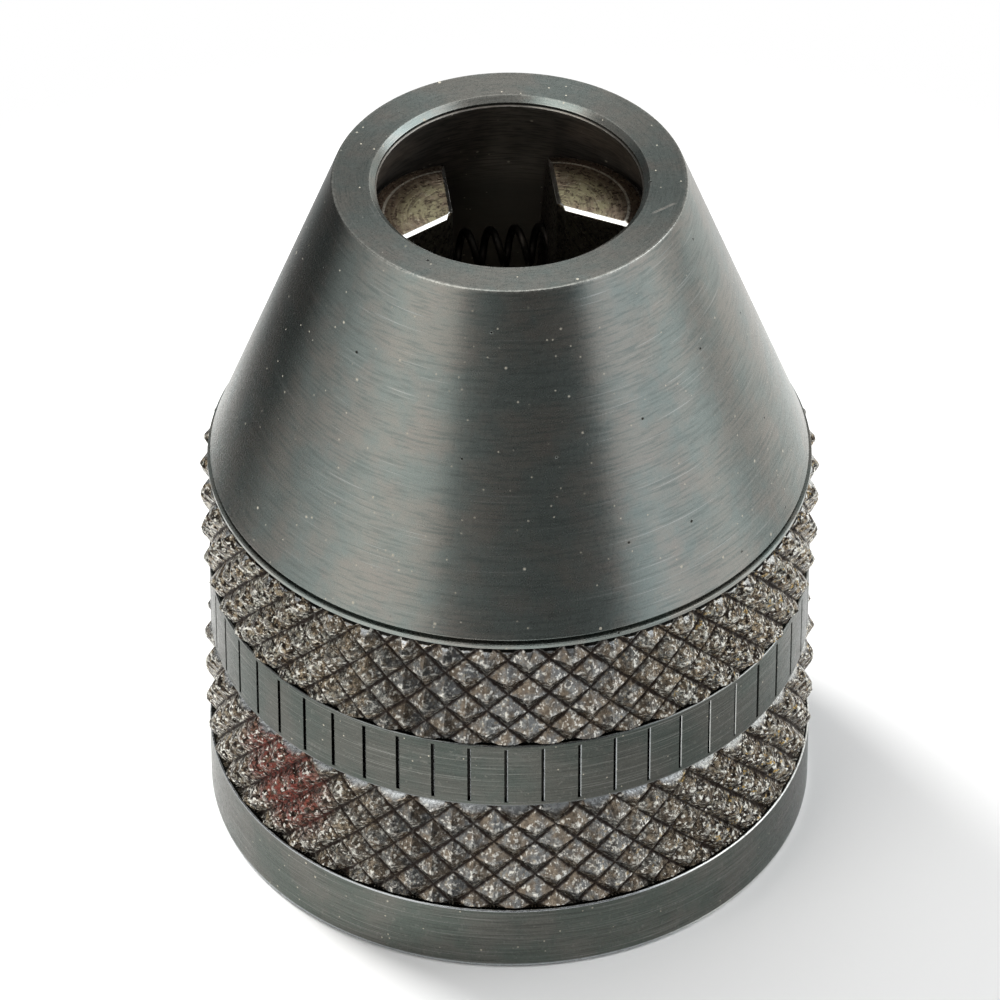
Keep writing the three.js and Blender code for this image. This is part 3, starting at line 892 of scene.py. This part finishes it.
def smooth_bands(n, fine, grain):
    """The colour of the grip's rim and middle band: cloudy black oxide, turning marks, scratches and dust."""
    cloud = n.step(n.noise(0.5, 3.0, 0.6), *TWO_TINTS)
    band = n.mix(cloud, (0.078, 0.091, 0.081), (0.1, 0.102, 0.091))
    rim = n.mix(cloud, (0.106, 0.122, 0.108), (0.136, 0.136, 0.122))
    colour = n.mix(n.step(n.z, RIM_TOP_Z, MIDDLE_BAND[0]), rim, band)
    colour = n.mix(n.step(fine, 0.55, 0.3, 0.0, 0.6), colour, (0.05, 0.054, 0.048))
    colour = n.mix(n.step(grain, 0.56, 0.72, 0.0, 0.5), colour, (0.22, 0.22, 0.195))
    scratch = n.lathe_lines(0.022, 2.2, 1.0)
    colour = n.mix(n.step(scratch, 0.6, 0.7, 0.0, 0.55), colour, (0.3, 0.3, 0.28))
    dust = n.plus(n.specks(1.2, 0.06), n.specks(2.3, 0.08), clamp=True)
    return n.mix(n.times(dust, 0.7), colour, DUST_COLOUR)


def knurl_facets(n, painted_light_sides, grain, grit, other_grit):
    """The colour of the diamonds' facets: brown and grey, black holes, worn tips painted bright as
    highlights, and painted glints and gold.
    """
    patch = n.noise(1.6, 3.0, 0.6)
    tint = n.step(patch, 0.42, 0.58)
    # Painted light: the facets far out along X are lighter, and on the lower knurl browner and darker.
    side = n.mix(tint, (0.43, 0.35, 0.24), (0.38, 0.38, 0.33))
    side = n.mix(n.step(n.z, *reversed(MIDDLE_BAND), 0.0, 0.45), side, (0.2, 0.17, 0.13))
    colour = n.mix(painted_light_sides, n.mix(tint, (0.235, 0.195, 0.15), (0.225, 0.23, 0.225)), side)
    # Dark specks and black holes, grit and pits, painted stronger far out along X as shade.
    dark_grain_and_shade = n.times(n.step(grain, 0.54, 0.45), n.math("MULTIPLY_ADD", painted_light_sides, 0.5, 0.4))
    colour = n.mix(dark_grain_and_shade, colour, (0.06, 0.042, 0.032))
    holes_and_shade = n.times(n.step(other_grit, 0.495, 0.455), n.math("MULTIPLY_ADD", painted_light_sides, 0.65, 0.3))
    colour = n.mix(holes_and_shade, colour, (0.015, 0.011, 0.009))
    # Worn tips, painted brighter still as highlights.
    near_tip = n.step(n.radius, KNURL_RADIUS - 0.13, KNURL_RADIUS - 0.04)
    colour = n.mix(n.times(n.times(near_tip, n.step(grit, 0.4, 0.56)), 0.8), colour, (0.6, 0.59, 0.54))
    # Painted glints, more of them far out along X.
    glints = n.times(n.step(grit, 0.57, 0.595), n.math("MULTIPLY_ADD", painted_light_sides, 0.4, 0.6))
    colour = n.mix(glints, colour, (1.0, 0.98, 0.9))
    # Painted golden glints towards +X.
    right_side = n.step(n.x, 0.2 * KNURL_RADIUS, 0.8 * KNURL_RADIUS, 0.15, 0.85)
    golden_glints = n.times(n.step(other_grit, 0.57, 0.61), right_side)
    return n.mix(n.times(golden_glints, n.step(patch, 0.52, 0.6)), colour, (0.62, 0.42, 0.14))


def with_reddish_smear(n, colour, grain, other_grit):
    """The colour with the smear over it, broken up by the grit."""
    middle = polar(KNURL_RADIUS, math.radians(SMEAR_DEG), SMEAR_Z)
    near = n.step(n.between("DISTANCE", n.point, middle), SMEAR_REACH, SMEAR_REACH / 2)
    smear = n.times(near, n.step(grain, 0.42, 0.56))
    smear = n.times(smear, n.step(other_grit, 0.42, 0.48, 0.15, 0.95))
    return n.mix(smear, colour, (0.25, 0.065, 0.05))


def knurled_steel():
    """The grip's finish: turned steel on its smooth bands, gritty facets and dark oily dirt on its knurl,
    with painted shade, highlights and glints.
    """
    n = Finish("knurled_steel")
    band_low, band_high = MIDDLE_BAND
    in_upper = n.step(n.z, band_high + 0.02, band_high + 0.08)
    above_rim = n.step(n.z, RIM_TOP_Z + 0.02, RIM_TOP_Z + 0.08)
    knurl = n.plus(in_upper, n.times(n.step(n.z, band_low, band_low - 0.06), above_rim), clamp=True)
    fine = n.lathe_lines(FINE_FEED, 7.0, 3.0)
    grain = n.noise(6.0, 5.0, 0.7)
    grit = n.noise(7.5, 3.0, 0.65)
    other_grit = n.noise(6.2, 3.0, 0.65, n.combine(n.z, n.x, n.y))
    chips = n.noise(4.2, 3.0, 0.6, n.combine(n.y, n.z, n.x))
    # The facets far out along X, where more shade and glints are painted.
    painted_light_sides = n.step(n.size(n.x), *scaled(PAINTED_LIGHT_SIDES, KNURL_RADIUS))
    groove_floor = KNURL_RADIUS - KNURL_DEPTH
    height = n.plus(n.radius, n.times(n.minus(grain, 0.5), 0.1))
    dirt = n.step(height, groove_floor + 0.07, groove_floor + 0.02)

    facets = knurl_facets(n, painted_light_sides, grain, grit, other_grit)
    facets = n.mix(n.times(dirt, 0.9), facets, (0.022, 0.013, 0.01))
    facets = with_reddish_smear(n, facets, grain, other_grit)
    colour = n.mix(knurl, smooth_bands(n, fine, grain), facets)
    worn_or_shaded = n.edge_wear_and_shade()
    # Rubbed edges and the groove flanks, painted near white as highlights towards +X.
    wear_and_painted_light = n.times(n.step(worn_or_shaded, 0.0, 0.9), n.step(grain, 0.34, 0.46, 0.6, 1.0))
    to_right = n.step(n.x, 0.4 * KNURL_RADIUS, 0.7 * KNURL_RADIUS)
    colour = n.mix(wear_and_painted_light, colour, n.mix(to_right, (0.42, 0.44, 0.45), (0.8, 0.81, 0.78)))
    # Corners marked -1, the groove slots among them, painted black as shade.
    colour = n.mix(n.step(worn_or_shaded, -0.05, -0.5), colour, (0.01, 0.01, 0.009))

    roughness = n.add("ShaderNodeMix", knurl, data_type="FLOAT")
    n.link(n.step(grain, 0.3, 0.7, 0.2, 0.32), roughness.inputs[2])
    n.link(n.plus(n.step(grit, 0.35, 0.65, 0.18, 0.36), n.times(dirt, 0.3)), roughness.inputs[3])
    n.surface(colour, n.minus(1.0, n.times(n.times(dirt, knurl), 0.6)), roughness.outputs[0])
    pitted = n.plus(n.times(chips, 1.6), n.times(grain, 0.7))
    pitted = n.times(pitted, n.math("MULTIPLY_ADD", painted_light_sides, 1.5, 0.2))
    pitted = n.times(pitted, n.plus(knurl, 0.06))
    n.bump(n.plus(n.times(fine, 0.12), pitted), 0.065)
    n.set("Specular IOR Level", 0.15)
    n.set("Specular Tint", (0.8, 0.8, 0.8))
    return n.owner


def jaw_steel():
    """Hard steel, turned about the jaw's own axis, with straw and brown heat tints, and painted highlights on
    its ground edges and round its nose face.
    """
    n = Finish("jaw_steel")
    arcs = n.lathe_lines(0.1, 2.5, 2.0)
    fine = n.lathe_lines(FINE_FEED, 6.0, 2.0)
    grain = n.noise(8.0, 4.0, 0.65)
    stain = n.noise(1.4, 3.0, 0.6)
    colour = n.mix(n.step(stain, *TWO_TINTS), (0.35, 0.32, 0.2), (0.29, 0.23, 0.165))
    colour = n.mix(n.step(arcs, 0.55, 0.35, 0.0, 0.75), colour, (0.11, 0.085, 0.06))
    outer = n.step(n.radius, JAW_FACE_RADIUS - 0.9, JAW_FACE_RADIUS + 0.2)
    outer_stain = n.times(outer, n.step(stain, 0.6, 0.4, 0.5, 0.9))
    colour = n.mix(outer_stain, colour, (0.15, 0.105, 0.09))
    colour = n.mix(n.step(grain, 0.57, 0.7, 0.0, 0.6), colour, (0.55, 0.52, 0.4))
    colour = n.mix(n.step(grain, 0.47, 0.36, 0.0, 0.75), colour, (0.075, 0.055, 0.045))
    # A bright line painted as a highlight round the edge of the nose face.
    from_line = n.size(n.minus(n.radius, JAW_FACE_RADIUS))
    face_edge_highlight = n.times(n.step(from_line, 0.06, 0.03), n.step(n.z, JAW_TIP_Z - 0.2, JAW_TIP_Z - 0.1))
    colour = n.mix(n.times(face_edge_highlight, 0.8), colour, (0.8, 0.78, 0.7))
    # Ground bevels, picked by which way they face, painted near white as highlights.
    facing_up = n.split(n.add("ShaderNodeTexCoord").outputs["Normal"])[2]
    tilted = n.step(n.size(n.minus(facing_up, 0.7)), 0.25, 0.18)
    ground_bevel_sheen = n.times(tilted, n.step(n.z, JAW_TIP_Z - 0.5, JAW_TIP_Z - 0.3))
    colour = n.mix(ground_bevel_sheen, colour, (0.85, 0.85, 0.82))
    side = n.step(facing_up, 0.3, 0.1)
    colour = n.mix(n.times(side, 0.5), colour, (0.3, 0.28, 0.25))
    n.surface(colour, 1.0, n.plus(n.step(grain, 0.3, 0.7, 0.24, 0.38), n.times(ground_bevel_sheen, -0.1)))
    marks = n.plus(arcs, n.times(fine, 0.4))
    n.bump(n.times(marks, n.minus(1.0, n.times(ground_bevel_sheen, 0.8))), 0.015)
    return n.owner


def ground_steel():
    """Hardened steel, ground flat, with fine round marks and a faint straw tint."""
    n = Finish("ground_steel")
    marks = n.lathe_lines(0.05, 3.0, 3.0)
    colour = n.mix(n.step(n.noise(0.6, 3.0), 0.35, 0.7), (0.5, 0.5, 0.48), (0.48, 0.43, 0.34))
    colour = n.mix(n.step(marks, 0.6, 0.35, 0.0, 0.4), colour, (0.3, 0.3, 0.28))
    n.surface(colour, 1.0, n.step(marks, 0.3, 0.7, 0.2, 0.34))
    n.bump(marks, 0.003)
    return n.owner


def phosphated_steel():
    """Spring steel under a dull black phosphate coat, rubbed through in small specks."""
    n = Finish("phosphated_steel")
    grain = n.noise(12.0, 4.0, 0.7)
    colour = n.mix(n.step(n.noise(0.9, 2.0), 0.35, 0.65), (0.06, 0.065, 0.07), (0.1, 0.1, 0.1))
    colour = n.mix(n.step(grain, 0.62, 0.75, 0.0, 0.5), colour, (0.3, 0.3, 0.3))
    n.surface(colour, 0.9, n.step(grain, 0.3, 0.7, 0.4, 0.6))
    n.bump(grain, 0.008)
    return n.owner


def spring_wire():
    """Oil-blackened drawn wire, painted near black as the shade deep in the mouth, with a few rubbed places.
    """
    n = Finish("spring_wire")
    grain = n.noise(10.0, 3.0, 0.6)
    # Near black: the oil blackening and painted shade.
    colour = n.mix(n.step(n.noise(2.0, 2.0), 0.35, 0.65), (0.018, 0.016, 0.014), (0.035, 0.03, 0.025))
    colour = n.mix(n.step(grain, 0.6, 0.72, 0.0, 0.5), colour, (0.13, 0.125, 0.11))
    n.surface(colour, 0.9, n.step(grain, 0.35, 0.65, 0.42, 0.56))
    n.bump(grain, 0.004)
    return n.owner


# ---- studio ----

# The soft panels round the chuck, as (direction in degrees from +X, brightness, warmth).
PANELS = (
    (-180, 0.62, 0.0), (-163, 0.85, 0.0), (-149, 1.1, 0.2), (-132, 1.05, 0.2),
    (-122, 0.9, 0.2), (-111, 0.26, 0.0), (-94, 0.15, 0.0), (-75, 0.12, 0.0),
    (-53, 0.14, -0.2), (-42, 0.85, -0.5), (-33, 1.05, -0.5), (-20, 0.92, -0.4),
    (-4, 1.05, -0.2), (18, 0.6, 0.0), (39, 0.9, 0.2), (65, 1.0, 0.2),
    (92, 0.8, 0.0), (112, 0.35, 0.0), (124, 0.1, 0.0), (150, 0.05, 0.0),
    (161, 0.2, 0.0), (170, 0.45, 0.0),
)
PANEL_TOPS = (0.3, 0.6)  # the sines of the heights between which the panels fade into the sky

# Raised soft boxes, as (direction in degrees, height in degrees, half-width in degrees, brightness, warmth).
SOFT_BOXES = (
    (-139, 45, 17, 2.6, 0.2),
    (-12, 38, 20, 2.2, -0.4),
    (90, 74, 26, 1.7, 0.0),
    (14, 27, 12, 3.4, -0.6),
)
BOX_FADE = 7.0  # degrees
WARM_RED = 0.06  # how much more red, and less blue, a light of warmth 1 has
WARM_BLUE = 0.08
OPEN_SKY = (0.24, 0.24, 0.24)
BACKDROP = (1.0, 1.0, 1.0)
FLOOR_RADIUS = 48.0
FLOOR_FADE = 8.0
FLOOR_GAP = 0.02
FLOOR_SIDES = 96
WINDOW_PLACE = (-123.0, 115.0, 125.0)
WINDOW_SIZE = 90.0
WINDOW_WATTS = 0.7
WINDOW_COLOUR = (1.0, 0.995, 0.985)

CAMERA_DISTANCE = 278.7
CAMERA_ELEVATION = 39.82
CAMERA_LENS = 311.04
CAMERA_SENSOR = 36.0
CAMERA_SHIFT = (-0.0095, -0.0198)


def light_colour(bright, warm):
    return (bright * (1 + WARM_RED * warm), bright, bright * (1 - WARM_BLUE * warm))


def with_soft_box(n, direction, behind, turn_deg, height_deg, half_width, bright, warm):
    """The world's colour with a round soft box in front of what is behind it."""
    height = math.radians(height_deg)
    toward = polar(math.cos(height), math.radians(turn_deg), math.sin(height))
    facing = n.between("DOT_PRODUCT", direction, toward)
    outer, inner = (math.cos(math.radians(half_width + fade)) for fade in (BOX_FADE, -BOX_FADE))
    return n.mix(n.step(facing, outer, inner), behind, light_colour(bright, warm))


def studio_world():
    """Soft panels all round, dark on the camera's side, a dim sky and a few raised soft boxes. The camera
    itself sees a plain pale backdrop."""
    n = Nodes(bpy.data.worlds.new("studio"))
    bpy.context.scene.world = n.owner
    n.tree.nodes.clear()
    direction = n.add("ShaderNodeTexCoord").outputs["Generated"]
    x, y, z = n.split(direction)
    around = n.math("MULTIPLY_ADD", n.math("ARCTAN2", y, x), 1 / (2 * math.pi), 0.5)
    panels = n.add("ShaderNodeValToRGB", around)
    panels.color_ramp.interpolation = "EASE"
    elements = panels.color_ramp.elements
    while len(elements) < len(PANELS):
        elements.new(0.5)
    for element, (degrees, bright, warm) in zip(elements, PANELS):
        element.position = degrees / 360 + 0.5
        element.color = (*light_colour(bright, warm), 1)
    light = n.mix(n.step(z, *PANEL_TOPS), panels.outputs[0], OPEN_SKY)
    for box in SOFT_BOXES:
        light = with_soft_box(n, direction, light, *box)
    lit, plain = (n.add("ShaderNodeBackground", colour).outputs[0] for colour in (light, BACKDROP))
    seen_directly = n.add("ShaderNodeLightPath").outputs["Is Camera Ray"]
    n.add("ShaderNodeOutputWorld", n.add("ShaderNodeMixShader", seen_directly, lit, plain).outputs[0])


def floor():
    """A round pale floor under the chuck, fading into the backdrop at its edge."""
    n = Finish("pale_floor")
    n.set("Base Color", n.mix(n.noise(0.05), (0.86, 0.86, 0.86), (0.88, 0.88, 0.87)))
    n.set("Roughness", 0.8)
    n.set("Alpha", n.step(n.radius, FLOOR_RADIUS - FLOOR_FADE, FLOOR_RADIUS / 2))
    rim = [polar(FLOOR_RADIUS, 2 * math.pi * k / FLOOR_SIDES) for k in range(FLOOR_SIDES)]
    disc = make_object("floor", rim, [tuple(range(FLOOR_SIDES))])
    disc.location.z = -FLOOR_GAP * MM
    disc.data.materials.append(n.owner)


def window():
    """A broad lamp that lights the floor and casts the chuck's soft shadow, unseen in the steel."""
    light = bpy.data.lights.new("window", "AREA")
    light.shape = "DISK"
    light.size = WINDOW_SIZE * MM
    light.energy = WINDOW_WATTS
    light.color = WINDOW_COLOUR
    lamp = bpy.data.objects.new("window", light)
    lamp.location = Vector(WINDOW_PLACE) * MM
    lamp.rotation_euler = (-Vector(WINDOW_PLACE)).to_track_quat("-Z", "Y").to_euler()
    lamp.visible_camera = False
    lamp.visible_glossy = False
    bpy.context.scene.collection.objects.link(lamp)


def camera():
    """Looks along +Y and down at the middle of the chuck, from far off, as the photograph does."""
    data = bpy.data.cameras.new("camera")
    data.lens = CAMERA_LENS
    data.sensor_width = CAMERA_SENSOR
    data.shift_x, data.shift_y = CAMERA_SHIFT
    data.clip_start = 1 * MM
    eye = bpy.data.objects.new("camera", data)
    aim = Vector((0, 0, NOSE_Z / 2))
    tilt = math.radians(CAMERA_ELEVATION)
    offset = Vector((0, -math.cos(tilt), math.sin(tilt))) * CAMERA_DISTANCE
    eye.location = (aim + offset) * MM
    eye.rotation_euler = (-offset).to_track_quat("-Z", "Y").to_euler()
    bpy.context.scene.collection.objects.link(eye)
    bpy.context.scene.camera = eye


# ---- the chuck ----

camera()
studio_world()
floor()
window()
bpy.context.scene.view_settings.view_transform = "Standard"

sleeve_finish = blackened_steel("blackened_steel", (0.25, 0.285, 0.268), (0.3, 0.295, 0.267), 0.3)
core_finish = blackened_steel("core_steel", (0.2, 0.215, 0.21), (0.26, 0.26, 0.25), 0.36)
jaw_finish = jaw_steel()
wire_finish = spring_wire()

place(nose_sleeve(), "sleeve", sleeve_finish, "sleeve_steel", "nose_sleeve")
place(knurled_grip(), "sleeve", knurled_steel(), "grip_steel", "knurled_grip")
place(core(), "core", core_finish, "core_steel", "core")
place(thrust_washer(), "core", ground_steel(), "ground_steel", "thrust_washer")
place(retaining_ring(), "carrier", phosphated_steel(), "spring_steel", "retaining_ring")

for index in range(JAW_COUNT):
    label = index + 1
    middle = math.radians(FIRST_JAW_DEG) + index * 2 * HALF_ANGLE
    jaw = jaw_mesh(f"sector_jaw_{label}")
    jaw.rotation_euler.z = middle
    jaw.location = Vector(polar(1.0, middle)) * JAW_TRAVEL * MM
    place(jaw, f"jaw_{label}", jaw_finish, "jaw_steel", f"jaw_{label}")

    across = middle + HALF_ANGLE
    spring = jaw_spring(f"coil_spring_{label}")
    spring.rotation_euler.z = across + math.pi / 2
    gap_middle = Vector(polar(1.0, across)) * SPRING_DISTANCE
    spring.location = (gap_middle + Vector((0, 0, SPRING_Z))) * MM
    place(spring, f"jaw_{label}", wire_finish, "spring_wire", f"jaw_spring_{label}")
    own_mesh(spring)
